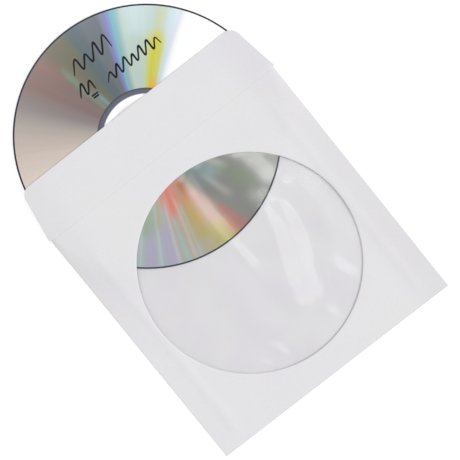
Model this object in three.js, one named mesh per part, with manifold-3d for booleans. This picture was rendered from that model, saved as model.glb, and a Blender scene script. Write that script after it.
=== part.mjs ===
// A paper sleeve for one 12 cm disc, lying flat with its window up and its flap open.
// The disc is pushed out of the mouth, so that half of it shows beyond the pocket.
// Millimetres, +Z up. The sleeve is drawn with its crease on y = 0, its pocket towards -Y and its
// flap towards +Y, and the whole is then centred on the middle of its outline.

import * as THREE from 'three';
import { mergeVertices } from 'three/addons/utils/BufferGeometryUtils.js';
import Module from 'manifold-3d';

const wasm = await Module();
wasm.setup();

// Sheet stock
const paperThickness = 0.12;
const filmThickness = 0.05;
const glueLine = 0.02;

// Pocket
const pocketWidth = 127;
const pocketHeight = 127;
const foldInnerRadius = 0.15;
const tabWidth = 11;
const tabEndSlant = 7;
const backSideMargin = 0.5;
const backBelowMouth = 1.5;

// Window
const windowDiameter = 101.6;
const windowAboveBottom = 63.5;
const filmLap = 5.5;

// Flap
const flapHeight = 25.6;
const flapOverhang = 0.8;
const flapTaper = 4.4;
const flapCornerRadius = 4;
const flapShoulder = 1;

// Disc
const discDiameter = 120;
const discThickness = 1.2;
const holeDiameter = 15;
const edgeRound = 0.2;
const holeChamfer = 0.12;
const stackRingRadius = 17.5;
const stackRingWidth = 1.6;
const stackRingHeight = 0.15;
const grooveRadius = 16.9;
const grooveWidth = 0.9;
const grooveDepth = 0.12;
const discProud = 70;
const discAside = -0.3;

// How the sheet lies over the disc
const discClearance = 0.1;
const restMargin = 1.2;
const flapRelease = 0.6;
const creaseLift = 0.3;
const creaseReach = 4.5;
const tabMark = 0.16;
const tabMarkReach = 2.2;
const filmFoldHeight = 0.5;
const filmFoldMargin = 5;

// Fineness of the sheet's faces
const panelColumnsPerSide = 16;
const panelRows = 34;
const edgeCrowding = 0.62;
const foldSteps = 4;
const cornerSteps = 4;
const windowSegments = 96;
const mergeDistance = 1e-4;
const discSegments = 72;

// What follows from the sizes above
const discRadius = discDiameter / 2;
const discX = discAside;
const discY = discProud - discRadius;
const windowRadius = windowDiameter / 2;
const windowY = windowAboveBottom - pocketHeight;
const foldOuterRadius = foldInnerRadius + paperThickness;
const tabUnderside = paperThickness - glueLine;
const panelEdgeHeight = tabUnderside + 2 * foldOuterRadius - paperThickness;
const bottomFoldCentre = (panelEdgeHeight + paperThickness) / 2;
const panelHalf = pocketWidth / 2 - foldOuterRadius;
const panelBottom = bottomFoldCentre - pocketHeight;
const discSeat = paperThickness;
const discTop = discSeat + stackRingHeight + discThickness;
const filmOverDisc = discTop + discClearance;
const panelOverDisc = filmOverDisc + filmThickness + glueLine;
const tabInnerEdge = panelHalf - tabWidth;
const flapRootHalf = pocketWidth / 2 + flapOverhang;

// Shallow folds that the clear film keeps in the window. Each runs between two places and fades over
// its reach, all three in window radii from the window's middle, and rises by a share of the height.
const filmFolds = [
  { from: [0.49, 0.42], to: [0.59, 0.03], reach: 0.09, share: 1 },
  { from: [0.59, 0.03], to: [0.31, -0.56], reach: 0.08, share: 0.85 },
  { from: [0.02, 0.23], to: [0.04, -0.05], reach: 0.05, share: 0.7 },
  { from: [-0.39, 0.03], to: [-0.49, -0.56], reach: 0.12, share: 0.6 },
  { from: [0.71, -0.36], to: [0.65, -0.64], reach: 0.05, share: 0.6 },
  { from: [-0.33, -0.66], to: [-0.26, -0.83], reach: 0.05, share: 0.7 },
];

const paper = new THREE.MeshStandardMaterial({ color: 0xe3e1e5, roughness: 0.85, metalness: 0 });
const film = new THREE.MeshStandardMaterial({
  color: 0xeeeef2,
  roughness: 0.12,
  metalness: 0,
  transparent: true,
  opacity: 0.3,
});
const silver = new THREE.MeshStandardMaterial({ color: 0xb9bcc0, roughness: 0.2, metalness: 0.9 });

// Height of the front panel and flap

function smoothStep(low, high, value) {
  const t = Math.min(1, Math.max(0, (value - low) / (high - low)));
  return t * t * (3 - 2 * t);
}

// 1 where the sheet lies on the disc, 0 along the folded edges, and a straight tent between them.
function tent(x, y) {
  const beyondDisc = Math.max(0, Math.hypot(x - discX, y - discY) - discRadius - restMargin);
  const toSide = Math.max(0, panelHalf - Math.abs(x)) + flapRelease * Math.max(0, y);
  const toBottom = Math.max(0, y - panelBottom);
  if (beyondDisc === 0) {
    return 1;
  }
  const toEdge = (toSide * toBottom) / (toSide + toBottom + beyondDisc);
  return toEdge / (toEdge + beyondDisc);
}

// The crease was folded back once, so the sheet still rises to it from both sides.
function creaseRise(x, y) {
  const inFromSide = smoothStep(0, tabWidth, panelHalf - Math.abs(x));
  return creaseLift * inFromSide * Math.exp(-Math.abs(y) / creaseReach);
}

// The inner edges of the tabs print through the panel as two low ridges.
function tabPrint(x, y) {
  const across = (Math.abs(x) - tabInnerEdge) / tabMarkReach;
  const fromBottom = y - panelBottom;
  const along = smoothStep(0, tabWidth, fromBottom) * smoothStep(0, 2 * tabWidth, -y);
  return tabMark * along * Math.exp(-across * across);
}

function panelUnderside(x, y) {
  const drape = panelEdgeHeight + (panelOverDisc - panelEdgeHeight) * tent(x, y);
  return drape + creaseRise(x, y) + tabPrint(x, y);
}

// Sheets as closed solids

// A sheet between two matching grids of points. hasCell(i, j) says whether the cell between columns
// i and i + 1 and rows j and j + 1 is part of the sheet, and every open side gets a rim.
function sheetGeometry(columns, rows, hasCell, outerPoint, innerPoint) {
  const positions = [];
  const present = (i, j) => i >= 0 && j >= 0 && i < columns - 1 && j < rows - 1 && hasCell(i, j);
  const quad = (a, b, c, d) => positions.push(...a, ...b, ...c, ...a, ...c, ...d);
  for (let i = 0; i < columns - 1; i++) {
    for (let j = 0; j < rows - 1; j++) {
      if (!present(i, j)) {
        continue;
      }
      const corners = [[i, j], [i + 1, j], [i + 1, j + 1], [i, j + 1]];
      const outer = corners.map(([column, row]) => outerPoint(column, row));
      const inner = corners.map(([column, row]) => innerPoint(column, row));
      quad(outer[0], outer[1], outer[2], outer[3]);
      quad(inner[0], inner[3], inner[2], inner[1]);
      const neighbours = [[i, j - 1], [i + 1, j], [i, j + 1], [i - 1, j]];
      neighbours.forEach(([column, row], side) => {
        const next = (side + 1) % 4;
        if (!present(column, row)) {
          quad(outer[side], inner[side], inner[next], outer[next]);
        }
      });
    }
  }
  const geometry = new THREE.BufferGeometry();
  geometry.setAttribute('position', new THREE.Float32BufferAttribute(positions, 3));
  return mergeVertices(geometry, mergeDistance);
}

// Cuts and joins need a solid whose faces share their corners.
function toManifold(source) {
  const bare = source.clone();
  bare.deleteAttribute('normal');
  bare.deleteAttribute('uv');
  const merged = mergeVertices(bare, mergeDistance);
  const vertProperties = new Float32Array(merged.attributes.position.array);
  const triVerts = new Uint32Array(merged.index.array);
  return new wasm.Manifold(new wasm.Mesh({ numProp: 3, vertProperties, triVerts }));
}

function toGeometry(solid) {
  const mesh = solid.getMesh();
  const geometry = new THREE.BufferGeometry();
  geometry.setAttribute('position', new THREE.BufferAttribute(new Float32Array(mesh.vertProperties), 3));
  geometry.setIndex(new THREE.BufferAttribute(new Uint32Array(mesh.triVerts), 1));
  geometry.computeVertexNormals();
  return geometry;
}

// Points across half the panel, closer together towards the folded side.
function spread(count, half) {
  const places = [];
  for (let i = -count; i <= count; i++) {
    const share = i / count;
    places.push(half * ((1 - edgeCrowding) * share + edgeCrowding * Math.sin((share * Math.PI) / 2)));
  }
  return places;
}

// Half the flap's width at a height above the crease: a short shoulder, tapered sides, round corners.
function flapHalfWidth(height) {
  const straight = flapRootHalf - (flapTaper * height) / flapHeight;
  const fromCorner = Math.max(0, height - (flapHeight - flapCornerRadius));
  const intoCorner = Math.min(flapCornerRadius, fromCorner);
  const rounding = flapCornerRadius - Math.sqrt(flapCornerRadius ** 2 - intoCorner ** 2);
  return straight - rounding;
}

// Rows from the bottom fold to the tip of the flap.
function panelRowPlaces() {
  const rows = [];
  for (let j = 0; j < panelRows; j++) {
    rows.push(panelBottom * (1 - j / panelRows));
  }
  rows.push(0, flapShoulder);
  const straightTop = flapHeight - flapCornerRadius;
  const steps = Math.round((straightTop - flapShoulder) / (pocketHeight / panelRows));
  for (let j = 1; j <= steps; j++) {
    rows.push(flapShoulder + ((straightTop - flapShoulder) * j) / steps);
  }
  for (let j = 1; j <= cornerSteps; j++) {
    rows.push(straightTop + flapCornerRadius * Math.sin((j / cornerSteps) * (Math.PI / 2)));
  }
  return rows;
}

// The front panel with its flap, its two side folds and the tabs that they carry inwards.
// Columns run from the free edge of the left tab to the free edge of the right one.
function frontSheet() {
  const rowPlaces = panelRowPlaces();
  const panelPlaces = spread(panelColumnsPerSide, panelHalf);
  const foldCentre = panelEdgeHeight + paperThickness - foldOuterRadius;
  const creaseRow = rowPlaces.indexOf(0);
  const tabMiddle = panelBottom / 2;
  const lead = foldSteps + 1;
  const columns = lead + panelPlaces.length + lead;

  // The tabs' ends slant, so a tab is shorter along its free edge than along its fold.
  const tabRow = (y) => tabMiddle + (y - tabMiddle) * (1 - tabEndSlant / Math.abs(tabMiddle));

  function point(column, row, offset) {
    const y = rowPlaces[row];
    const beyond = Math.max(lead - column, column - (columns - 1 - lead));
    const side = column < columns / 2 ? -1 : 1;
    if (beyond <= 0) {
      const across = panelPlaces[column - lead];
      const half = y > 0 ? flapHalfWidth(y) : panelHalf;
      const x = (across * half) / panelHalf;
      return [x, y, panelUnderside(x, y) + offset];
    }
    if (beyond <= foldSteps) {
      const turn = (beyond / foldSteps) * Math.PI;
      const radius = foldInnerRadius + offset;
      return [side * (panelHalf + radius * Math.sin(turn)), y, foldCentre + radius * Math.cos(turn)];
    }
    const z = tabUnderside + paperThickness - offset;
    return [side * tabInnerEdge, tabRow(y), z];
  }

  const isPanel = (column) => column >= lead && column < columns - 1 - lead;
  return sheetGeometry(
    columns,
    rowPlaces.length,
    (column, row) => isPanel(column) || row < creaseRow,
    (column, row) => point(column, row, paperThickness),
    (column, row) => point(column, row, 0),
  );
}

// The bottom fold and the back panel, which is glued over the tabs.
function backSheet() {
  const half = pocketWidth / 2 - backSideMargin;
  const innerRadius = bottomFoldCentre - paperThickness;

  function point(column, row, offset) {
    const x = column === 0 ? -half : half;
    if (row === 0) {
      return [x, -backBelowMouth, paperThickness - offset];
    }
    const turn = ((row - 1) / foldSteps) * Math.PI;
    const radius = innerRadius + offset;
    return [x, panelBottom - radius * Math.sin(turn), bottomFoldCentre - radius * Math.cos(turn)];
  }

  return sheetGeometry(
    2,
    foldSteps + 2,
    () => true,
    (column, row) => point(column, row, paperThickness),
    (column, row) => point(column, row, 0),
  );
}

// The folded sheet with its glue seams closed, and the window cut through the front panel alone.
function paperSleeve() {
  const folded = toManifold(frontSheet()).add(toManifold(backSheet()));
  const cutterHeight = pocketWidth;
  const cutter = new THREE.CylinderGeometry(windowRadius, windowRadius, cutterHeight, windowSegments);
  cutter.rotateX(Math.PI / 2);
  cutter.translate(0, windowY, cutterHeight / 2 + tabUnderside + 2 * paperThickness);
  return toGeometry(folded.subtract(toManifold(cutter)));
}

// Height of the film's own folds above its lie, nothing where it is glued.
function filmFold(x, y) {
  const place = new THREE.Vector3(x, y - windowY, 0).divideScalar(windowRadius);
  const fromEdge = windowRadius * (1 - place.length());
  const free = smoothStep(filmFoldMargin, 3 * filmFoldMargin, fromEdge);
  const nearest = new THREE.Vector3();
  let share = 0;
  for (const fold of filmFolds) {
    const line = new THREE.Line3(new THREE.Vector3(...fold.from, 0), new THREE.Vector3(...fold.to, 0));
    line.closestPointToPoint(place, true, nearest);
    const gap = nearest.distanceTo(place) / fold.reach;
    share = Math.max(share, fold.share * Math.exp(-gap * gap));
  }
  return filmFoldHeight * free * share;
}

// The clear patch, glued under the panel all round the window.
function windowFilm() {
  const columnPlaces = spread(panelColumnsPerSide, panelHalf);
  const rowPlaces = panelRowPlaces();
  const half = windowRadius + filmLap;
  const inReach = (low, high, centre) => low < centre + half && high > centre - half;

  function point(column, row, offset) {
    const x = columnPlaces[column];
    const y = rowPlaces[row];
    return [x, y, panelUnderside(x, y) - glueLine - filmThickness + offset + filmFold(x, y)];
  }

  const sheet = sheetGeometry(
    columnPlaces.length,
    rowPlaces.length,
    (column, row) => inReach(columnPlaces[column], columnPlaces[column + 1], 0)
      && inReach(rowPlaces[row], rowPlaces[row + 1], windowY),
    (column, row) => point(column, row, filmThickness),
    (column, row) => point(column, row, 0),
  );
  const outline = new THREE.BoxGeometry(2 * half, 2 * half, pocketHeight);
  outline.translate(0, windowY, 0);
  return toGeometry(toManifold(sheet).intersect(toManifold(outline)));
}

// Quarter of a round edge, from one angle to another, as profile points.
function roundEdge(radius, height, from, to) {
  const points = [];
  for (let step = 0; step <= cornerSteps; step++) {
    const angle = from + ((to - from) * step) / cornerSteps;
    points.push([radius + edgeRound * Math.cos(angle), height + edgeRound * Math.sin(angle)]);
  }
  return points;
}

// The disc stands on the stacking ring of its underside, with a moulding groove in its upper side.
function disc() {
  const underside = stackRingHeight;
  const top = underside + discThickness;
  const holeRadius = holeDiameter / 2;
  const ringIn = stackRingRadius - stackRingWidth / 2;
  const ringOut = stackRingRadius + stackRingWidth / 2;
  const grooveIn = grooveRadius - grooveWidth / 2;
  const grooveOut = grooveRadius + grooveWidth / 2;
  const profile = [
    [holeRadius + holeChamfer, underside],
    [ringIn - stackRingHeight, underside],
    [ringIn, 0],
    [ringOut, 0],
    [ringOut + stackRingHeight, underside],
    ...roundEdge(discRadius - edgeRound, underside + edgeRound, -Math.PI / 2, 0),
    ...roundEdge(discRadius - edgeRound, top - edgeRound, 0, Math.PI / 2),
    [grooveOut, top],
    [grooveOut - grooveDepth, top - grooveDepth],
    [grooveIn + grooveDepth, top - grooveDepth],
    [grooveIn, top],
    [holeRadius + holeChamfer, top],
    [holeRadius, top - holeChamfer],
    [holeRadius, underside + holeChamfer],
    [holeRadius + holeChamfer, underside],
  ];
  const geometry = new THREE.LatheGeometry(
    profile.map(([radius, height]) => new THREE.Vector2(radius, height)),
    discSegments,
  );
  geometry.rotateX(Math.PI / 2);
  return geometry;
}

function named(name, geometry, material) {
  const mesh = new THREE.Mesh(geometry, material);
  mesh.name = name;
  return mesh;
}

const sleeve = new THREE.Group();
sleeve.add(named('paper_sleeve', paperSleeve(), paper));
sleeve.add(named('window_film', windowFilm(), film));

const disc12 = named('disc', disc(), silver);
disc12.position.set(discX, discY, discSeat);

const model = new THREE.Group();
model.add(sleeve, disc12);
model.position.y = (pocketHeight - Math.max(discProud, flapHeight)) / 2;

export default model;
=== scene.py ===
import math

import bpy
import numpy as np
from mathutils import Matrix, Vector


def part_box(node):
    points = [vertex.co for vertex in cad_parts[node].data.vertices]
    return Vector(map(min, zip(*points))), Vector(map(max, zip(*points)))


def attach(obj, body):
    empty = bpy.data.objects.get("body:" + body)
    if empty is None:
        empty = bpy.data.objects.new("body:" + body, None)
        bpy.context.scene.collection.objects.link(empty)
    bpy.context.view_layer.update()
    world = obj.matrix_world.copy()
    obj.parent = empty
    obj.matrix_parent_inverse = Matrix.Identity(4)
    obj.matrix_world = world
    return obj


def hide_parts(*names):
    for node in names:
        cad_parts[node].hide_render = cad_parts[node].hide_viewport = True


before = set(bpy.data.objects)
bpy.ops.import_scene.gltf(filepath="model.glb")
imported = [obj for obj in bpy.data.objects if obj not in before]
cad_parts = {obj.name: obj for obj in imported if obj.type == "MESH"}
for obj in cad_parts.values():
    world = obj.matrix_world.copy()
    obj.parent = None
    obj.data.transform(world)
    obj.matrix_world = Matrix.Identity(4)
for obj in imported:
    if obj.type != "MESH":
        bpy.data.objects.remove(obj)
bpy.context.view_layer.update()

# A paper sleeve for one disc, lying flat with its window up, its flap open and the disc pushed out.
# Shapes are worked out in millimetres, with the crease on y = 0, and are put in metres at the end.

MM = 0.001
TINY = 1e-9


def box_mm(node):
    """A node's lowest and highest corners in millimetres."""
    low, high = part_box(node)
    return np.array(low) / MM, np.array(high) / MM


SLEEVE_LOW, SLEEVE_HIGH = box_mm("paper_sleeve")
FILM_LOW, FILM_HIGH = box_mm("window_film")
DISC_LOW, DISC_HIGH = box_mm("disc")

# Sheet stock
PAPER = 0.12
FILM = 0.05
GLUE_LINE = 0.02

# Pocket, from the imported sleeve's box
POCKET_WIDTH = 127.0
POCKET_HEIGHT = 127.0
CREASE_Y = SLEEVE_LOW[1] + POCKET_HEIGHT
FOLD_INNER = 0.15
FOLD_OUTER = FOLD_INNER + PAPER
TAB_WIDTH = 11.0
TAB_END_SLANT = 7.0
BACK_SIDE_MARGIN = 0.5
BACK_BELOW_MOUTH = 1.5
TAB_LOW = PAPER - GLUE_LINE
PANEL_EDGE = TAB_LOW + 2 * FOLD_OUTER - PAPER
PANEL_HALF = POCKET_WIDTH / 2 - FOLD_OUTER
BOTTOM_FOLD = (PANEL_EDGE + PAPER) / 2
PANEL_BOTTOM = BOTTOM_FOLD - POCKET_HEIGHT

# Window
FILM_LAP = 5.5
FILM_HALF = (FILM_HIGH[0] - FILM_LOW[0]) / 2
WINDOW_RADIUS = FILM_HALF - FILM_LAP
WINDOW_Y = (FILM_LOW[1] + FILM_HIGH[1]) / 2 - CREASE_Y

# Flap
FLAP_HEIGHT = SLEEVE_HIGH[1] - CREASE_Y
FLAP_ROOT_HALF = POCKET_WIDTH / 2 + 0.8
FLAP_TAPER = 4.4
FLAP_CORNER = 4.0
FLAP_SHOULDER = 1.0

# Disc
DISC_RADIUS = (DISC_HIGH[0] - DISC_LOW[0]) / 2
DISC_X = (DISC_HIGH[0] + DISC_LOW[0]) / 2
DISC_Y = (DISC_HIGH[1] + DISC_LOW[1]) / 2 - CREASE_Y
DISC_TOP = DISC_HIGH[2]
DISC_FOOT = DISC_LOW[2]
DISC_THICKNESS = 1.2
DISC_UNDERSIDE = DISC_TOP - DISC_THICKNESS
DISC_ROUND_EDGE = 0.2
HOLE_RADIUS = 7.5
HOLE_CHAMFER = 0.12
STACKING_RING = (16.7, 18.3)
STACKING_RING_SLOPE = 0.15
GROOVE = (16.45, 17.35)
GROOVE_DEPTH = 0.12
HUB_EDGE = 22.3

# Lie of the sheet, in mm. FLAP_RELEASE and LEFT_EASE are shares, and each pair says between which
# places a smooth step runs: outward from the middle line, down from the crease, or up from the foot.
REST_MARGIN = 1.2
FLAP_RELEASE = 0.6
CREASE_LIFT = 0.2
CREASE_REACH = 4.5
CREASE_SCORE = 0.16
CREASE_SCORE_REACH = 0.32
EDGE_SPRING = 0.85
EDGE_SPRING_REACH = 16.0
LEFT_EASE = 0.85
LEFT_EASE_OUTWARD = (18, 50)
LEFT_EASE_BELOW_CREASE = (32, 64)
LEFT_EASE_ABOVE_FOOT = (-114, -88)
SHEET_BEND = 5.0
RIM_DIP = 0.08
RIM_DIP_REACH = 0.45
COCKLE = 0.08
COCKLE_INSET = 14.0
TAB_MARK = 0.16
TAB_MARK_REACH = 2.2
DISC_CLEARANCE = 0.1
PANEL_OVER_DISC = DISC_TOP + DISC_CLEARANCE + FILM + GLUE_LINE


# Heights

def smooth_step(low, high, value):
    t = np.clip((value - low) / (high - low), 0, 1)
    return t * t * (3 - 2 * t)


def tent(x, y):
    """1 where the sheet lies on the disc, 0 along the folded edges, and a straight tent between."""
    gap = np.maximum(0, np.hypot(x - DISC_X, y - DISC_Y) - DISC_RADIUS - REST_MARGIN)
    beyond = gap * gap / (gap + SHEET_BEND)
    to_side = np.maximum(0, PANEL_HALF - np.abs(x)) + FLAP_RELEASE * np.maximum(0, y)
    to_bottom = np.maximum(0, y - PANEL_BOTTOM)
    to_edge = to_side * to_bottom / np.maximum(TINY, to_side + to_bottom + beyond)
    return np.where(beyond == 0, 1, to_edge / np.maximum(TINY, to_edge + beyond))


def waves(x, y, seed, count, shortest, longest):
    """A gentle relief between about -1 and 1: a few seeded sine waves crossing at random angles."""
    random = np.random.default_rng(seed)
    total = np.zeros_like(x)
    for _ in range(count):
        angle = random.uniform(0, math.pi)
        length = random.uniform(shortest, longest)
        phase = random.uniform(0, 2 * math.pi)
        across = x * math.cos(angle) + y * math.sin(angle)
        total += np.sin(2 * math.pi * across / length + phase)
    return total / math.sqrt(count)


def panel_edge(y):
    """Height of the panel's lower face along its sides, where the fold springs open beside the disc."""
    rim = np.sqrt(np.maximum(0, DISC_RADIUS**2 - (y - DISC_Y) ** 2))
    return PANEL_EDGE + EDGE_SPRING * smooth_step(0, 1, 1 - (PANEL_HALF - rim) / EDGE_SPRING_REACH)


def panel_underside(x, y):
    """Height of the front panel's and the flap's lower face."""
    edge = panel_edge(y)
    left_of_window = smooth_step(*LEFT_EASE_OUTWARD, -x) * smooth_step(*LEFT_EASE_BELOW_CREASE, -y)
    left_of_window = left_of_window * smooth_step(*LEFT_EASE_ABOVE_FOOT, y)
    drape = edge + (PANEL_OVER_DISC - edge) * tent(x, y) * (1 - LEFT_EASE * left_of_window)
    in_from_side = smooth_step(0, TAB_WIDTH, PANEL_HALF - np.abs(x))
    crease = CREASE_LIFT * in_from_side * np.exp(-np.abs(y) / CREASE_REACH)
    across = (np.abs(x) - (PANEL_HALF - TAB_WIDTH)) / TAB_MARK_REACH
    along = smooth_step(0, TAB_WIDTH, y - PANEL_BOTTOM) * smooth_step(0, 2 * TAB_WIDTH, -y)
    tabs = TAB_MARK * along * np.exp(-across * across)
    inset = smooth_step(0, COCKLE_INSET, np.minimum(PANEL_HALF - np.abs(x), y - PANEL_BOTTOM))
    swell = waves(x, y, seed=5, count=7, shortest=24, longest=60)
    cockle = COCKLE * inset * (1 + swell / 2)
    score = CREASE_SCORE * np.exp(-((y / CREASE_SCORE_REACH) ** 2))
    from_rim = (np.hypot(x, y - WINDOW_Y) - WINDOW_RADIUS) / RIM_DIP_REACH
    cut_edge = RIM_DIP * np.exp(-from_rim * from_rim)
    return drape + crease + tabs + cockle - score - cut_edge


# Folds and hollows that the film keeps. Each has a line of points in mm, its height or depth, and the
# widths of its faces towards +X and -X.
FILM_FOLDS = (
    (((0, -8), (-2.5, -22), (-3.8, -34), (-3, -46), (-2, -52)), 0.43, 7.3, 3.0),
    (((-2, -44), (-1, -56), (0, -69)), 0.26, 4.6, 3.0),
    (((9, -10), (9, -20), (10, -27)), 0.26, 7.0, 4.0),
    (((25, -16), (26, -28), (27, -40)), 0.4, 9.0, 3.0),
    (((23, -36), (20.5, -47)), 0.38, 6.0, 6.0),
    (((21.5, -43), (18, -56), (14.5, -65), (11, -73), (8, -80), (5.5, -88), (5, -97)), 0.54, 7.3, 8.0),
    (((27, -79), (28, -86), (30, -92), (33, -99)), 0.3, 5.0, 6.0),
    (((-44, -62), (-43, -76), (-38, -93)), 0.44, 11.0, 8.0),
    (((-14, -52), (-15, -66), (-15, -80), (-16, -94)), 0.42, 12.0, 12.0),
    (((33, -40), (34, -44), (37, -47)), 0.2, 4.5, 3.0),
    (((-22, -99), (-18, -98), (-15, -101), (-14, -106), (-15, -110)), 0.26, 3.5, 2.5),
    (((-26, -98), (-24, -103), (-20, -108)), 0.22, 3.0, 2.5),
    (((12, -99), (14, -104), (13, -109)), 0.2, 4.0, 3.0),
)
FILM_HOLLOWS = (
    (((30.5, -46), (31, -58), (29.5, -68), (25.5, -78), (20.5, -86), (19, -97)), 0.48, 9.0, 7.0),
    (((-26, -60), (-25, -76), (-22, -92)), 0.2, 9.0, 9.0),
)
FILM_FOLD_MARGIN = 3.0
# From each end of its line, a fold rises to its full height between these distances.
FOLD_FADE = (-1.0, 5.0)
RIDGE_ROUNDING = 0.1
RIDGE_SHARPNESS = 12
FILM_RIPPLE = 0.015


def beside_path(x, y, path):
    """Distance to a path of points, signed + on its +X side, and the distance past the nearer end."""
    path = np.array(path, float)
    lengths = np.hypot(*np.diff(path, axis=0).T)
    starts = np.concatenate([[0], np.cumsum(lengths)])
    best = np.full(x.shape, np.inf)
    signed = np.zeros(x.shape)
    along = np.zeros(x.shape)
    for k, length in enumerate(lengths):
        ahead = (path[k + 1] - path[k]) / length
        rx, ry = x - path[k, 0], y - path[k, 1]
        run = np.clip(rx * ahead[0] + ry * ahead[1], 0, length)
        gap = np.hypot(rx - run * ahead[0], ry - run * ahead[1])
        side = np.sign(ry * ahead[0] - rx * ahead[1])
        nearer = gap < best
        best = np.where(nearer, gap, best)
        signed = np.where(nearer, side * gap, signed)
        along = np.where(nearer, starts[k] + run, along)
    return signed, np.minimum(along, starts[-1] - along)


def film_fold(x, y):
    """How far the film's folds, hollows and ripples lift it off the panel's smooth drape."""
    from_edge = WINDOW_RADIUS - np.hypot(x, y - WINDOW_Y)
    free = smooth_step(0, FILM_FOLD_MARGIN, from_edge)
    height = np.zeros_like(x)
    for folds, way in ((FILM_FOLDS, 1), (FILM_HOLLOWS, -1)):
        most = np.zeros_like(x)
        for path, top, right_face, left_face in folds:
            signed, to_end = beside_path(x, y, path)
            share = np.where(signed > 0, 1 - signed / right_face, 1 + signed / left_face)
            share = np.clip(share, 0, 1)
            rounded = share - RIDGE_ROUNDING * share**RIDGE_SHARPNESS
            most = np.maximum(most, top * rounded * smooth_step(*FOLD_FADE, to_end))
        height += way * most
    ripples = waves(x, y, seed=9, count=6, shortest=9, longest=26)
    return free * (height + FILM_RIPPLE * ripples)


# Meshes

def to_metres(points):
    moved = np.array(points, float)
    moved[:, 1] += CREASE_Y
    return moved * MM


def mesh_object(name, points, faces, sharp_degrees=35):
    """A smooth-shaded object from points in mm, with its edges sharp above an angle."""
    mesh = bpy.data.meshes.new(name)
    mesh.from_pydata(to_metres(points).tolist(), [], [tuple(int(i) for i in f) for f in faces])
    mesh.validate()
    mesh.shade_smooth()
    mesh.set_sharp_from_angle(angle=math.radians(sharp_degrees))
    obj = bpy.data.objects.new(name, mesh)
    bpy.context.scene.collection.objects.link(obj)
    return obj


class Sheet:
    """A thin sheet: matching outer and inner points, and quads between them. Open sides get a rim."""

    def __init__(self):
        self.outer = []
        self.inner = []
        self.quads = []
        self.count = 0

    def points(self, outer, inner):
        """Adds a grid of points, rows by columns by 3, and gives their numbers."""
        shape = outer.shape[:-1]
        size = int(np.prod(shape))
        self.outer.append(outer.reshape(-1, 3))
        self.inner.append(inner.reshape(-1, 3))
        numbers = np.arange(self.count, self.count + size).reshape(shape)
        self.count += size
        return numbers

    def cells(self, numbers):
        """Joins a grid of point numbers by quads, with its outer side where rows turn to columns."""
        a = numbers[:-1, :-1].ravel()
        b = numbers[:-1, 1:].ravel()
        c = numbers[1:, 1:].ravel()
        d = numbers[1:, :-1].ravel()
        self.quads.append(np.stack([a, b, c, d], 1))

    def build(self, name):
        """Closes the sheet: its outer side, its inner side turned round, and a rim at each open edge."""
        outer = np.concatenate(self.outer)
        inner = np.concatenate(self.inner)
        quads = np.concatenate(self.quads)
        edges = np.concatenate([quads[:, [k, (k + 1) % 4]] for k in range(4)])
        key = np.sort(edges, 1) @ np.array([self.count, 1])
        _, place, uses = np.unique(key, return_index=True, return_counts=True)
        rim = edges[place[uses == 1]]
        sides = np.stack([rim[:, 0], rim[:, 0] + self.count, rim[:, 1] + self.count, rim[:, 1]], 1)
        faces = np.concatenate([quads, quads[:, ::-1] + self.count, sides])
        return mesh_object(name, np.concatenate([outer, inner]), faces)


def lifted(x, y, z, thickness):
    """A sheet's upper points and its lower points, the lower ones at height z."""
    return np.stack([x, y, z + thickness], -1), np.stack([x, y, z], -1)


SIDE_POINTS = 144
RING_LEVELS = 34
FLAP_LEVELS = 34
FLAP_ROOT_HEIGHTS = (0.0, 0.15, 0.3, 0.5, 0.75)
FLAP_CORNER_STEPS = 10
FOLD_STEPS = 8
TAB_STEPS = 4
BACK_STEPS = 40


def panel_outline():
    """Points round the front panel, anticlockwise from its lower left corner."""
    left, right, low, high = -PANEL_HALF, PANEL_HALF, PANEL_BOTTOM, 0.0
    share = np.arange(SIDE_POINTS) / SIDE_POINTS

    def run(start, end):
        return start + (end - start) * share

    def flat(level):
        return np.full(SIDE_POINTS, level)

    x = np.concatenate([run(left, right), flat(right), run(right, left), flat(left)])
    y = np.concatenate([flat(low), run(low, high), flat(high), run(high, low)])
    return x, y


def flap_half_width(height):
    """Half the flap's width at a height over the crease: a straight taper, then a round corner."""
    straight = FLAP_ROOT_HALF - FLAP_TAPER * height / FLAP_HEIGHT
    into_corner = np.clip(height - (FLAP_HEIGHT - FLAP_CORNER), 0, FLAP_CORNER)
    return straight - (FLAP_CORNER - np.sqrt(np.maximum(0, FLAP_CORNER**2 - into_corner**2)))


def flap_heights():
    """Heights of the flap's rows of points, close together at the crease and at the round corners."""
    corner_start = FLAP_HEIGHT - FLAP_CORNER
    straight = np.linspace(FLAP_SHOULDER, corner_start, FLAP_LEVELS)
    turn = np.linspace(0, math.pi / 2, FLAP_CORNER_STEPS + 1)[1:]
    return np.concatenate([FLAP_ROOT_HEIGHTS, straight, corner_start + FLAP_CORNER * np.sin(turn)])


def side_fold(sheet, numbers, y, side):
    """The fold along one side and its tab, from the panel's edge points inwards underneath."""
    top = panel_underside(side * PANEL_HALF + 0 * y, y) + PAPER
    centre = (top + TAB_LOW) / 2
    rise = (top - TAB_LOW) / 2
    turn = np.linspace(0, math.pi, FOLD_STEPS + 1)[1:, None]

    def arc(radius):
        x = side * (PANEL_HALF + radius * np.sin(turn)) + 0 * y
        z = centre + (rise + radius - FOLD_OUTER) * np.cos(turn)
        return np.stack([x, y + 0 * turn, z], -1)

    curl = sheet.points(arc(FOLD_OUTER), arc(FOLD_INNER))
    middle = PANEL_BOTTOM / 2
    share = np.linspace(0, 1, TAB_STEPS + 1)[1:, None]
    slant = 1 - share * TAB_END_SLANT / abs(middle)
    x = side * (PANEL_HALF - share * TAB_WIDTH) + 0 * y
    tab_y = middle + (y - middle) * slant
    low = TAB_LOW + 0 * x
    tab = sheet.points(np.stack([x, tab_y, low], -1), np.stack([x, tab_y, low + PAPER], -1))
    grid = np.concatenate([numbers[None, :], curl, tab])
    sheet.cells(grid[::-1] if side < 0 else grid)


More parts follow.
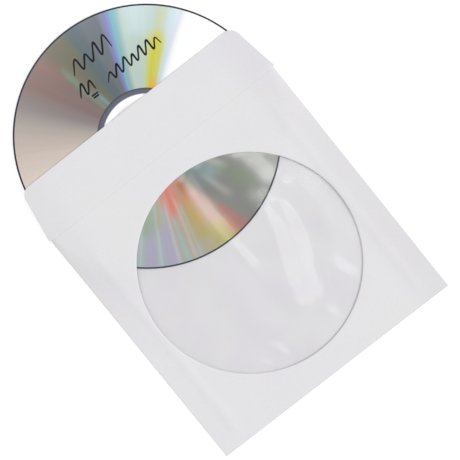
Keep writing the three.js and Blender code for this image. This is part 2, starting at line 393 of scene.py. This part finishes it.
def paper_sleeve():
    """The whole folded sheet: panel round the window, flap, two tabs and back panel."""
    sheet = Sheet()
    edge_x, edge_y = panel_outline()
    angle = np.arctan2(edge_y - WINDOW_Y, edge_x)
    rim_x = WINDOW_RADIUS * np.cos(angle)
    rim_y = WINDOW_Y + WINDOW_RADIUS * np.sin(angle)
    level = 0.5 - 0.5 * np.cos(np.linspace(0, math.pi, RING_LEVELS))[:, None]
    x = rim_x + (edge_x - rim_x) * level
    y = rim_y + (edge_y - rim_y) * level
    ring = sheet.points(*lifted(x, y, panel_underside(x, y), PAPER))
    closed = np.concatenate([ring, ring[:, :1]], 1)
    sheet.cells(closed[::-1])

    edge = closed[-1]
    corner = [k * SIDE_POINTS for k in range(5)]
    bottom = edge[corner[0]:corner[1] + 1]
    right = edge[corner[1]:corner[2] + 1]
    top = edge[corner[2]:corner[3] + 1][::-1]
    left = edge[corner[3]:corner[4] + 1][::-1]

    heights = flap_heights()[1:, None]
    across = np.linspace(-1, 1, SIDE_POINTS + 1)
    flap_x = across * flap_half_width(heights)
    flap_y = heights + 0 * across
    flap = sheet.points(*lifted(flap_x, flap_y, panel_underside(flap_x, flap_y), PAPER))
    sheet.cells(np.concatenate([top[None, :], flap]))

    side_y = np.linspace(PANEL_BOTTOM, 0, SIDE_POINTS + 1)
    side_fold(sheet, right, side_y, 1)
    side_fold(sheet, left, side_y, -1)

    back_half = POCKET_WIDTH / 2 - BACK_SIDE_MARGIN
    fold_x = np.linspace(-PANEL_HALF, PANEL_HALF, SIDE_POINTS + 1)
    turn = np.linspace(math.pi, 0, FOLD_STEPS + 1)[1:, None]

    def arc(radius):
        y = PANEL_BOTTOM - radius * np.sin(turn) + 0 * fold_x
        return np.stack([fold_x + 0 * turn, y, BOTTOM_FOLD - radius * np.cos(turn) + 0 * fold_x], -1)

    curl = sheet.points(arc(BOTTOM_FOLD), arc(BOTTOM_FOLD - PAPER))
    back_y = np.linspace(PANEL_BOTTOM, -BACK_BELOW_MOUTH, BACK_STEPS + 1)[1:, None] + 0 * fold_x
    back_x = fold_x / PANEL_HALF * back_half + 0 * back_y
    flat = np.zeros_like(back_x)
    back = sheet.points(
        np.stack([back_x, back_y, flat], -1), np.stack([back_x, back_y, flat + PAPER], -1)
    )
    grid = np.concatenate([bottom[None, :], curl, back])
    sheet.cells(grid[::-1])
    return sheet.build("sleeve_paper")


FILM_CELLS = 208


def window_film():
    """The square film patch, a glue line below the panel."""
    sheet = Sheet()
    share = np.linspace(-1, 1, FILM_CELLS + 1) * FILM_HALF
    x, y = np.meshgrid(share, WINDOW_Y + share)
    low = panel_underside(x, y) - GLUE_LINE - FILM + film_fold(x, y)
    sheet.cells(sheet.points(*lifted(x, y, low, FILM)))
    return sheet.build("film_patch")


DISC_SEGMENTS = 288
ROUND_EDGE_STEPS = 6


def turned(name, profile, middle, segments):
    """A closed profile of radius and height pairs, turned about an upright axis."""
    angle = np.arange(segments) / segments * 2 * math.pi
    profile = np.array(profile)
    radius = profile[:, 0][:, None]
    x = middle[0] + radius * np.cos(angle)
    y = middle[1] + radius * np.sin(angle)
    z = profile[:, 1][:, None] + 0 * angle
    points = np.stack([x, y, z], -1).reshape(-1, 3)
    numbers = np.arange(len(points)).reshape(len(profile), segments)
    down = np.roll(numbers, -1, 0)
    faces = np.stack([numbers, np.roll(numbers, -1, 1), np.roll(down, -1, 1), down], -1)
    return mesh_object(name, points, faces.reshape(-1, 4), sharp_degrees=25)


def disc():
    """The disc's section: hub with chamfered hole, groove and stacking ring, and the rounded rim."""
    low, top = DISC_UNDERSIDE, DISC_TOP
    ring_in, ring_out = STACKING_RING
    groove_in, groove_out = GROOVE
    groove_floor = top - GROOVE_DEPTH
    rim = DISC_RADIUS - DISC_ROUND_EDGE
    bend = np.linspace(0, math.pi / 2, ROUND_EDGE_STEPS + 1)
    cosines = DISC_ROUND_EDGE * np.cos(bend)
    sines = DISC_ROUND_EDGE * np.sin(bend)
    profile = [
        (HOLE_RADIUS + HOLE_CHAMFER, low),
        (ring_in - STACKING_RING_SLOPE, low),
        (ring_in, DISC_FOOT),
        (ring_out, DISC_FOOT),
        (ring_out + STACKING_RING_SLOPE, low),
        (HUB_EDGE, low),
        *zip(rim + sines, low + DISC_ROUND_EDGE - cosines),
        *zip(rim + cosines, top - DISC_ROUND_EDGE + sines),
        (HUB_EDGE, top),
        (groove_out, top),
        (groove_out - GROOVE_DEPTH, groove_floor),
        (groove_in + GROOVE_DEPTH, groove_floor),
        (groove_in, top),
        (HOLE_RADIUS + HOLE_CHAMFER, top),
        (HOLE_RADIUS, top - HOLE_CHAMFER),
        (HOLE_RADIUS, low + HOLE_CHAMFER),
    ]
    return turned("silver_disc", profile, (DISC_X, DISC_Y), DISC_SEGMENTS)


# Marker strokes on the disc, wavy and without letters

def stroke_points(places, steps=14):
    """A smooth path through given places, by Catmull-Rom curves."""
    p = np.array(places, float)
    p = np.vstack([2 * p[0] - p[1], p, 2 * p[-1] - p[-2]])
    path = []
    for k in range(1, len(p) - 2):
        t = np.linspace(0, 1, steps, endpoint=k == len(p) - 3)[:, None]
        a, b, c, d = p[k - 1], p[k], p[k + 1], p[k + 2]
        square = (2 * a - 5 * b + 4 * c - d) * t**2
        cube = (3 * b - a - 3 * c + d) * t**3
        path.append(0.5 * (2 * b + (c - a) * t + square + cube))
    return np.concatenate(path)


SCRIBBLE_HEIGHTS = (0.65, 1.0)
SCRIBBLE_RISE = (-0.25, 0.25)
SCRIBBLE_LEAN = 0.35
SCRIBBLE_SLIP = (-0.2, 0.2)


def scribble(start, end, turns, height, seed):
    """Places along a hand-drawn zigzag from one point to another, leaning as handwriting does."""
    random = np.random.default_rng(seed)
    start, end = np.array(start), np.array(end)
    run = end - start
    up = np.array([-run[1], run[0]]) / np.linalg.norm(run)
    places = []
    for k in range(2 * turns + 1):
        share = k / (2 * turns)
        rise = height * (k % 2) * random.uniform(*SCRIBBLE_HEIGHTS) + random.uniform(*SCRIBBLE_RISE)
        lean = run / np.linalg.norm(run) * (SCRIBBLE_LEAN * rise + random.uniform(*SCRIBBLE_SLIP))
        places.append(start + run * share + up * rise + lean)
    return places


PEN_WIDTH = 0.85
PEN_THICKNESS = 0.012
PEN_TIP_SHARE = 0.45
PEN_TAPER = 6
PEN_WAVER = 0.08
PEN_WAVER_RATE = 40
STROKES = (
    scribble((-8.5, 51.5), (13.0, 51.5), turns=4, height=7.0, seed=3),
    scribble((-12.5, 41.5), (-4.5, 41.2), turns=2, height=6.0, seed=8),
    scribble((1.5, 39.8), (31.0, 39.2), turns=7, height=5.4, seed=11),
    [(-8.2, 39.6), (-4.6, 39.4)],
    [(-8.0, 38.4), (-5.0, 38.3)],
)


def pen_strokes():
    """Flat ribbons of ink along the strokes, half sunk in the disc's top."""
    points, faces = [], []
    for places in STROKES:
        path = stroke_points(places)
        ahead = np.gradient(path, axis=0)
        ahead /= np.linalg.norm(ahead, axis=1)[:, None]
        side = np.stack([-ahead[:, 1], ahead[:, 0]], 1)
        along = np.linspace(0, 1, len(path))
        taper = np.minimum(1, PEN_TIP_SHARE + PEN_TAPER * np.minimum(along, 1 - along))
        waver = 1 + PEN_WAVER * np.sin(PEN_WAVER_RATE * along)
        half = (PEN_WIDTH / 2 * taper * waver)[:, None]
        first = len(points)
        for z in (DISC_TOP + PEN_THICKNESS, DISC_TOP - PEN_THICKNESS):
            for edge in (path + side * half, path - side * half):
                points.extend([px, py, z] for px, py in edge)
        count = len(path)
        rows = [first, first + count, first + 3 * count, first + 2 * count]
        for k in range(count - 1):
            for a, b in zip(rows, rows[1:] + rows[:1]):
                faces.append((a + k, b + k, b + k + 1, a + k + 1))
        faces.append(tuple(rows)[::-1])
        faces.append(tuple(r + count - 1 for r in rows))
    return mesh_object("pen_strokes", points, faces)


# Materials

def srgb(red, green, blue):
    """An 8-bit display colour as the linear colour that shaders take."""
    def linear(value):
        share = value / 255
        return share / 12.92 if share <= 0.04045 else ((share + 0.055) / 1.055) ** 2.4
    return linear(red), linear(green), linear(blue), 1.0


class Nodes:
    """Short calls for building one material's node tree."""

    def __init__(self, name):
        self.material = bpy.data.materials.new(name)
        self.material.use_nodes = True
        self.tree = self.material.node_tree
        self.tree.nodes.clear()
        self.output = self.add("ShaderNodeOutputMaterial")

    @classmethod
    def inside(cls, group):
        """The same calls for the inside of a node group."""
        nodes = cls.__new__(cls)
        nodes.tree = group
        return nodes

    def add(self, kind, inputs=None, **settings):
        node = self.tree.nodes.new(kind)
        for key, value in settings.items():
            setattr(node, key, value)
        for key, value in (inputs or {}).items():
            self.set(node.inputs[key], value)
        return node

    def set(self, socket, value):
        if isinstance(value, bpy.types.NodeSocket):
            self.tree.links.new(value, socket)
        else:
            socket.default_value = value

    def math(self, operation, *values, clamp=False):
        node = self.add("ShaderNodeMath", operation=operation, use_clamp=clamp)
        for socket, value in zip(node.inputs, values):
            self.set(socket, value)
        return node.outputs[0]

    def step(self, value, low, high):
        """0 below low, 1 above high and smooth between."""
        node = self.add("ShaderNodeMapRange", interpolation_type="SMOOTHSTEP")
        for key, setting in (("Value", value), ("From Min", low), ("From Max", high)):
            self.set(node.inputs[key], setting)
        return node.outputs[0]

    def mix(self, factor, first, second, blend="MIX"):
        node = self.add("ShaderNodeMix", data_type="RGBA", blend_type=blend)
        self.set(node.inputs["Factor"], factor)
        self.set(node.inputs[6], first)
        self.set(node.inputs[7], second)
        return node.outputs[2]

    def noise(self, vector, scale, detail=3.0, roughness=0.55):
        node = self.add("ShaderNodeTexNoise", {"Scale": scale, "Detail": detail, "Roughness": roughness})
        self.set(node.inputs["Vector"], vector)
        return node.outputs["Fac"]

    def place(self):
        return self.add("ShaderNodeTexCoord").outputs["Object"]

    def share(self, value, low, high):
        """0 at low, 1 at high and straight throughout."""
        return self.math("DIVIDE", self.math("SUBTRACT", value, low), high - low)

    def ramp(self, factor, stops):
        """A colour that runs straight from each stop to the next."""
        node = self.add("ShaderNodeValToRGB")
        elements = node.color_ramp.elements
        while len(elements) < len(stops):
            elements.new(0.5)
        for element, (position, colour) in zip(elements, stops):
            element.position = position
            element.color = colour
        self.set(node.inputs["Fac"], factor)
        return node.outputs["Color"]

    def bump(self, height, distance, strength):
        node = self.add("ShaderNodeBump", {"Strength": strength, "Distance": distance})
        self.set(node.inputs["Height"], height)
        return node.outputs["Normal"]

    def finish(self, shader):
        self.tree.links.new(shader, self.output.inputs["Surface"])
        return self.material


WHITE = (1, 1, 1, 1)


def paper_material():
    """White paper with faint clouds and fibres, a shade darker at the right and at the upper left."""
    right_edge = (42 * MM, 58 * MM)
    left_edge = (40 * MM, 60 * MM)
    upper_part = ((CREASE_Y - 90) * MM, (CREASE_Y - 30) * MM)
    right_shade, left_shade = 0.6, 0.45
    n = Nodes("sleeve_paper")
    place = n.place()
    clouds = n.noise(place, 27, 2.0)
    fibres = n.noise(place, 900, 4.0, 0.65)
    pulp = n.noise(place, 3200, 2.0)
    cool = srgb(222.5, 221, 224.5)
    neutral = srgb(223.5, 222.5, 223.5)
    tint = n.mix(n.step(clouds, 0.35, 0.65), cool, neutral)
    parts = n.add("ShaderNodeSeparateXYZ", {"Vector": place})
    at_right = n.math("MULTIPLY", n.step(parts.outputs["X"], *right_edge), right_shade)
    to_left = n.step(n.math("MULTIPLY", parts.outputs["X"], -1.0), *left_edge)
    upward = n.step(parts.outputs["Y"], *upper_part)
    at_left = n.math("MULTIPLY", n.math("MULTIPLY", to_left, upward), left_shade)
    tint = n.mix(n.math("ADD", at_right, at_left), tint, srgb(215, 213, 217))
    speckle = n.ramp(fibres, [(0.3, (0.965, 0.965, 0.97, 1)), (0.7, WHITE)])
    colour = n.mix(1.0, tint, speckle, "MULTIPLY")
    grain = n.math("ADD", n.math("MULTIPLY", fibres, 0.7), n.math("MULTIPLY", pulp, 0.3))
    shader = n.add("ShaderNodeBsdfPrincipled", {
        "Base Color": colour,
        "Roughness": n.math("ADD", 0.62, n.math("MULTIPLY", fibres, 0.2)),
        "Specular IOR Level": 0.35,
        "Normal": n.bump(grain, 0.00004, 0.5),
    })
    return n.finish(shader.outputs[0])


def film_material():
    """Clear film with a faint veil, and a sheen that grows towards a grazing view."""
    reflection, haze_reflection = 0.036, 0.01
    grazing_power, grazing_reflection = 5.0, 0.9
    n = Nodes("window_film")
    place = n.place()
    haze = n.noise(place, 55, 3.0)
    streak = n.noise(place, 420, 2.0)
    veil = n.step(n.noise(place, 46, 2.0), 0.38, 0.62)
    clear_tint = n.mix(veil, (0.993, 0.992, 0.995, 1), WHITE)
    clear = n.add("ShaderNodeBsdfTransparent", {"Color": clear_tint})
    sheen = n.add("ShaderNodeBsdfPrincipled", {
        "Base Color": n.mix(haze, srgb(240, 239, 241), srgb(250, 250, 250)),
        "Metallic": 0.85,
        "Roughness": n.math("ADD", 0.15, n.math("MULTIPLY", streak, 0.06)),
    })
    edge_on = n.add("ShaderNodeLayerWeight", {"Blend": 0.5}).outputs["Facing"]
    grazing = n.math("MULTIPLY", n.math("POWER", edge_on, grazing_power), grazing_reflection)
    straight_on = n.math("ADD", reflection, n.math("MULTIPLY", haze, haze_reflection))
    share = n.math("ADD", straight_on, grazing, clamp=True)
    mixed = n.add("ShaderNodeMixShader", {0: share, 1: clear.outputs[0], 2: sheen.outputs[0]})
    return n.finish(mixed.outputs[0])


# Tints of the disc, as display colours
TINTS = {
    "pearl": (232, 230, 232),
    "glare": (255, 255, 252),
    "ice": (212, 229, 238),
    "sage": (189, 207, 197),
    "aqua": (130, 184, 194),
    "sky": (131, 156, 203),
    "violet": (132, 128, 184),
    "slate": (112, 118, 125),
    "pine": (94, 109, 114),
    "moss": (124, 150, 128),
    "olive": (116, 114, 96),
    "umber": (135, 116, 112),
    "mauve": (148, 138, 138),
    "stone": (179, 171, 163),
    "sand": (214, 199, 188),
    "cream": (233, 220, 209),
    "mist": (178, 190, 190),
    "lilac": (190, 176, 212),
    "meadow": (160, 182, 148),
    "lemon": (208, 204, 58),
    "amber": (246, 170, 62),
    "rust": (200, 106, 62),
    "salmon": (233, 128, 104),
    "coral": (196, 108, 96),
    "straw": (190, 180, 146),
    "fawn": (186, 179, 166),
    "rose": (224, 190, 178),
    "mint": (168, 204, 194),
    "chalk": (194, 197, 189),
    "mustard": (190, 174, 84),
    "ash": (129, 131, 125),
    "teal": (128, 152, 154),
    "fern": (116, 142, 104),
}

# Painted base sheen: the reflection of the lights on the disc's silver track, painted by direction from
# the disc's middle, in degrees anticlockwise from +X, with a painted highlight at "glare"
PAINTED_SHEEN = (
    (0, "pearl"),
    (18, "glare"),
    (33, "glare"),
    (39, "ice"),
    (47, "sage"),
    (64, "sage"),
    (74, "slate"),
    (82, "slate"),
    (88, "pine"),
    (97, "olive"),
    (108, "umber"),
    (118, "umber"),
    (128, "mauve"),
    (137, "stone"),
    (152, "sand"),
    (167, "cream"),
    (190, "pearl"),
    (220, "mist"),
    (240, "mist"),
    (250, "fawn"),
    (257, "fawn"),
    (262, "straw"),
    (270, "straw"),
    (278, "ash"),
    (306, "ash"),
    (330, "pearl"),
)

# Painted streaks of reflected colour: the rainbow that the disc's tracks throw back from the lights, and
# pale painted reflections of the film such as "chalk". Directions at the hub and at the rim, half width
# in degrees, the radii in mm between which it is full, tint and strength. Later ones lie over earlier
# ones.
SHEEN_STREAKS = (
    (48.6, 44.6, 4.9, 20, 44, "lemon", 1.0),
    (43.4, 42.4, 2.2, 26, 40, "lemon", 0.65),
    (48.0, 44.4, 2.6, 50, 62, "lemon", 0.35),
    (45.4, 44.0, 3.4, 20, 23, "amber", 0.8),
    (39.5, 36.0, 1.4, 20, 62, "lilac", 0.25),
    (56.0, 56.0, 7.0, 50, 62, "ice", 0.5),
    (71.5, 67.0, 2.8, 20, 62, "aqua", 0.95),
    (73.2, 68.8, 1.1, 20, 62, "sky", 0.9),
    (75.0, 70.8, 1.5, 20, 62, "violet", 0.9),
    (84.0, 86.5, 4.0, 20, 62, "pine", 0.6),
    (94.0, 94.0, 4.0, 50, 62, "olive", 1.0),
    (106.0, 101.5, 2.2, 20, 44, "moss", 0.7),
    (100.5, 100.0, 2.4, 20, 26, "aqua", 0.5),
    (108.0, 107.0, 3.0, 50, 62, "coral", 0.12),
    (118.0, 116.0, 4.0, 44, 62, "coral", 0.06),
    (234.5, 233.0, 2.2, 44, 62, "lilac", 0.8),
    (241.0, 243.0, 3.2, 44, 62, "lilac", 0.7),
    (248.0, 250.4, 1.3, 34, 62, "mint", 0.7),
    (230.0, 231.0, 6.0, 34, 42, "meadow", 0.8),
    (239.5, 238.0, 3.4, 20, 27, "salmon", 0.35),
    (245.5, 244.0, 3.2, 20, 29, "salmon", 0.65),
    (251.0, 250.0, 3.6, 20, 34, "salmon", 0.95),
    (256.5, 255.5, 2.6, 20, 30, "salmon", 0.8),
    (260.0, 258.5, 1.6, 24, 40, "coral", 0.3),
    (254.5, 253.5, 1.0, 34, 56, "cream", 0.35),
    (257.5, 256.0, 0.9, 38, 58, "sage", 0.45),
    (245.5, 246.0, 1.0, 34, 60, "pearl", 0.3),
    (237.5, 238.0, 1.1, 30, 60, "ice", 0.35),
    (227.5, 228.5, 1.3, 36, 60, "ice", 0.3),
    (250.0, 249.0, 4.5, 32, 42, "salmon", 0.15),
    (239.5, 238.5, 2.4, 28, 39, "straw", 0.75),
    (263.0, 261.0, 5.5, 38, 49, "mustard", 0.75),
    (265.5, 264.5, 4.4, 20, 31, "rust", 0.9),
    (264.0, 264.5, 3.8, 34, 42, "amber", 0.32),
    (269.8, 269.8, 2.2, 20, 24, "mauve", 0.7),
    (270.5, 271.4, 5.4, 33, 50, "rose", 0.92),
    (276.5, 277.0, 2.4, 20, 33, "ash", 0.6),
    (268.0, 270.0, 5.0, 52, 62, "lemon", 0.45),
    (274.3, 279.3, 2.8, 48, 62, "coral", 0.65),
    (274.5, 274.5, 2.2, 55, 62, "salmon", 0.4),
    (291.0, 291.0, 10.0, 20, 31, "teal", 0.85),
    (301.0, 297.5, 3.4, 34, 50, "fern", 0.5),
    (326.5, 304.5, 8.0, 38, 56, "chalk", 0.75),
    (286.5, 287.0, 2.4, 34, 41, "chalk", 0.4),
    (301.5, 301.5, 3.2, 25, 33, "chalk", 0.55),
    (293.0, 293.0, 3.4, 56, 62, "chalk", 0.5),
    (304.0, 304.0, 3.6, 57, 62, "pearl", 0.45),
    (312.5, 312.5, 3.0, 56, 62, "ash", 0.55),
)
# The radii in mm that the two directions are given for, and the length over which an end fades
STREAK_HUB = 22.0
STREAK_RIM = 60.0
STREAK_ENDS = 7.0


def streak_group():
    """A node group that lays one soft painted streak of reflected colour over a colour."""
    group = bpy.data.node_groups.new("disc_streak", "ShaderNodeTree")
    for name, kind in (
        ("Colour", "NodeSocketColor"), ("Turn", "NodeSocketFloat"), ("Radius", "NodeSocketFloat"),
        ("At Hub", "NodeSocketFloat"), ("At Rim", "NodeSocketFloat"), ("Half Width", "NodeSocketFloat"),
        ("Inner", "NodeSocketFloat"), ("Outer", "NodeSocketFloat"), ("Tint", "NodeSocketColor"),
        ("Strength", "NodeSocketFloat"),
    ):
        group.interface.new_socket(name=name, in_out="INPUT", socket_type=kind)
    group.interface.new_socket(name="Colour", in_out="OUTPUT", socket_type="NodeSocketColor")
    n = Nodes.inside(group)
    given = n.add("NodeGroupInput").outputs
    share = n.share(given["Radius"], STREAK_HUB, STREAK_RIM)
    drift = n.math("MULTIPLY", share, n.math("SUBTRACT", given["At Rim"], given["At Hub"]))
    middle = n.math("ADD", given["At Hub"], drift)
    off = n.math("DIVIDE", n.math("SUBTRACT", given["Turn"], middle), given["Half Width"])
    across = n.math("EXPONENT", n.math("MULTIPLY", n.math("MULTIPLY", off, off), -1.0))
    before = n.step(given["Radius"], n.math("SUBTRACT", given["Inner"], STREAK_ENDS), given["Inner"])
    after = n.step(given["Radius"], given["Outer"], n.math("ADD", given["Outer"], STREAK_ENDS))
    within = n.math("MULTIPLY", before, n.math("SUBTRACT", 1.0, after))
    mask = n.math("MULTIPLY", n.math("MULTIPLY", across, within), given["Strength"])
    result = n.add("NodeGroupOutput")
    n.set(result.inputs["Colour"], n.mix(mask, given["Colour"], given["Tint"]))
    return group


# Rings of the disc's top: the radii in mm between which each one takes over from the one inside it
BAND_START = (19.4, 19.7)
DATA_START = (22.2, 22.4)
DARK_RIM_START = (59.0, 59.2)
BRIGHT_RIM_START = (59.8, 59.9)
METAL_START = (19.2, 20.4)
# The radii in mm over which the hub's own tints and the band's painted reflection run
HUB_TINTS = (15.0, 20.0)
BAND_REFLECTION = (19.5, 22.5)
SPOKES = 60.0
SPOKE_BREAKS = 0.006


def disc_material():
    """A silver disc: pale hub, grey band, track with streaks of colour, dark rim and bright edge. The
    track's tints and streaks and the band's greys are painted reflection of the lights and the film.
    """
    n = Nodes("silver_disc")
    parts = n.add("ShaderNodeSeparateXYZ", {"Vector": n.place()})
    x = n.math("SUBTRACT", n.math("DIVIDE", parts.outputs["X"], MM), DISC_X)
    y = n.math("SUBTRACT", n.math("DIVIDE", parts.outputs["Y"], MM), DISC_Y + CREASE_Y)
    radius = n.math("SQRT", n.math("ADD", n.math("MULTIPLY", x, x), n.math("MULTIPLY", y, y)))
    turn = n.math("FRACT", n.math("DIVIDE", n.math("ARCTAN2", y, x), 2 * math.pi))
    colour = n.ramp(turn, [(angle / 360, srgb(*TINTS[tint])) for angle, tint in PAINTED_SHEEN])
    degrees = n.math("MULTIPLY", turn, 360.0)
    group = streak_group()
    for at_hub, at_rim, half_width, inner, outer, tint, strength in SHEEN_STREAKS:
        streak = n.add("ShaderNodeGroup", node_tree=group)
        for key, value in (
            ("Colour", colour), ("Turn", degrees), ("Radius", radius), ("At Hub", at_hub),
            ("At Rim", at_rim), ("Half Width", half_width), ("Inner", inner), ("Outer", outer),
            ("Tint", srgb(*TINTS[tint])), ("Strength", strength),
        ):
            n.set(streak.inputs[key], value)
        colour = streak.outputs["Colour"]

    # Fine radial streaks of painted sheen across the track; the same noise also roughens it
    spokes = n.add("ShaderNodeCombineXYZ", {
        "X": n.math("MULTIPLY", turn, SPOKES),
        "Y": n.math("MULTIPLY", radius, SPOKE_BREAKS),
    })
    spoke_noise = n.noise(spokes.outputs[0], 3.0, 3.0)
    spoke_sheen = n.ramp(spoke_noise, [(0.3, (0.95, 0.955, 0.965, 1)), (0.7, WHITE)])
    track = n.mix(1.0, colour, spoke_sheen, "MULTIPLY")

    # The mirror band's painted reflection: a bright thin line at its inner edge, then greys that darken
    # outward
    band = n.ramp(n.share(radius, *BAND_REFLECTION), [
        (0.0, srgb(196, 210, 228)), (0.15, srgb(92, 100, 120)), (0.5, srgb(104, 106, 116)),
        (0.8, srgb(84, 84, 96)), (1.0, srgb(62, 60, 74)),
    ])
    hub = n.ramp(n.share(radius, *HUB_TINTS), [
        (0.0, srgb(242, 242, 242)), (0.25, srgb(228, 228, 230)), (0.4, srgb(246, 246, 246)),
        (0.6, srgb(252, 252, 252)), (1.0, srgb(250, 251, 253)),
    ])
    zoned = hub
    for start, tint in (
        (BAND_START, band), (DATA_START, track),
        (DARK_RIM_START, srgb(20, 24, 46)), (BRIGHT_RIM_START, srgb(226, 232, 238)),
    ):
        zoned = n.mix(n.step(radius, *start), zoned, tint)
    shader = n.add("ShaderNodeBsdfPrincipled", {
        "Base Color": zoned,
        "Metallic": n.math("MULTIPLY", n.step(radius, *METAL_START), 0.4),
        "Roughness": n.math("ADD", 0.24, n.math("MULTIPLY", spoke_noise, 0.03)),
        "Coat Weight": 0.2,
        "Coat Roughness": 0.08,
    })
    return n.finish(shader.outputs[0])


def pen_material():
    """Black marker ink, nearly matt."""
    n = Nodes("marker_ink")
    ink = n.noise(n.place(), 1500, 2.0)
    shader = n.add("ShaderNodeBsdfPrincipled", {
        "Base Color": n.mix(ink, srgb(8, 8, 10), srgb(20, 18, 22)),
        "Roughness": n.math("ADD", 0.45, n.math("MULTIPLY", ink, 0.2)),
        "Specular IOR Level": 0.25,
    })
    return n.finish(shader.outputs[0])


def floor_material():
    """A pale matt floor with a light of its own, so that it reads white."""
    n = Nodes("floor")
    grain = n.noise(n.place(), 6, 2.0)
    shader = n.add("ShaderNodeBsdfPrincipled", {
        "Base Color": n.mix(grain, (0.64, 0.64, 0.64, 1), (0.66, 0.66, 0.66, 1)),
        "Roughness": 0.9,
        "Specular IOR Level": 0.0,
        "Emission Color": WHITE,
        "Emission Strength": 0.5,
    })
    return n.finish(shader.outputs[0])


# Pieces

def dress(piece, material, body, replaced=()):
    """Gives a piece its material and slot, and ties it to its body and the nodes that it replaces."""
    piece.data.materials.append(material)
    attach(piece, body)
    if replaced:
        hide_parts(*replaced)


BODY = "root"
dress(paper_sleeve(), paper_material(), BODY, ["paper_sleeve"])
dress(window_film(), film_material(), BODY, ["window_film"])
dress(disc(), disc_material(), BODY, ["disc"])
dress(pen_strokes(), pen_material(), BODY)


# Stage

def plain_floor(half=3.0):
    """A square of floor, 3 m to each side of the origin."""
    mesh = bpy.data.meshes.new("floor")
    corners = [(-half, -half, 0), (half, -half, 0), (half, half, 0), (-half, half, 0)]
    mesh.from_pydata(corners, [], [(0, 1, 2, 3)])
    floor = bpy.data.objects.new("floor", mesh)
    bpy.context.scene.collection.objects.link(floor)
    mesh.materials.append(floor_material())


def area_light(name, place, size, watts):
    """A white rectangle of light that looks at the frame's origin."""
    data = bpy.data.lights.new(name, "AREA")
    data.shape = "RECTANGLE"
    data.size, data.size_y = size
    data.energy = watts
    light = bpy.data.objects.new(name, data)
    light.location = place
    aim = -Vector(place)
    light.rotation_euler = aim.to_track_quat("-Z", "Y").to_euler()
    bpy.context.scene.collection.objects.link(light)


# Right and up in the photograph, laid on the floor
IMAGE_RIGHT = Vector((0.783, -0.621, 0.0))
IMAGE_UP = Vector((0.611, 0.770, 0.0))


def on_dome(right, up, height, distance):
    """A place seen towards image right and up by those shares, at a height share, so far away."""
    return (IMAGE_RIGHT * right + IMAGE_UP * up + Vector((0, 0, height))).normalized() * distance


plain_floor()
area_light("key", on_dome(right=0.976, up=0.2, height=0.75, distance=8.0), size=(3.2, 3.2), watts=375)
area_light("top", on_dome(right=-0.5, up=0.5, height=1.8, distance=4.0), size=(2.4, 2.4), watts=36)
area_light("film_glint", (0.08, -0.27, 2.0), size=(0.16, 0.24), watts=0.42)
area_light("film_sheen", (0.08, -0.56, 2.0), size=(0.2, 0.34), watts=0.42)

SKY_STRENGTH = 0.52
world = bpy.data.worlds.new("studio")
world.use_nodes = True
sky = world.node_tree.nodes["Background"]
sky.inputs["Color"].default_value = WHITE
sky.inputs["Strength"].default_value = SKY_STRENGTH
bpy.context.scene.world = world
bpy.context.scene.view_settings.view_transform = "Standard"

# Camera, fitted to the photograph, in metres, degrees and mm of focal length
CAMERA_PLACE = (0.2069, 0.2453, 1.7896)
CAMERA_TURN = (-10.5466, -0.1003, -38.4208)
CAMERA_LENS = 318.07
camera_data = bpy.data.cameras.new("camera")
camera_data.lens = CAMERA_LENS
camera_data.sensor_width = 36.0
camera_data.clip_end = 20.0
camera = bpy.data.objects.new("camera", camera_data)
camera.location = CAMERA_PLACE
camera.rotation_euler = [math.radians(a) for a in CAMERA_TURN]
bpy.context.scene.collection.objects.link(camera)
bpy.context.scene.camera = camera
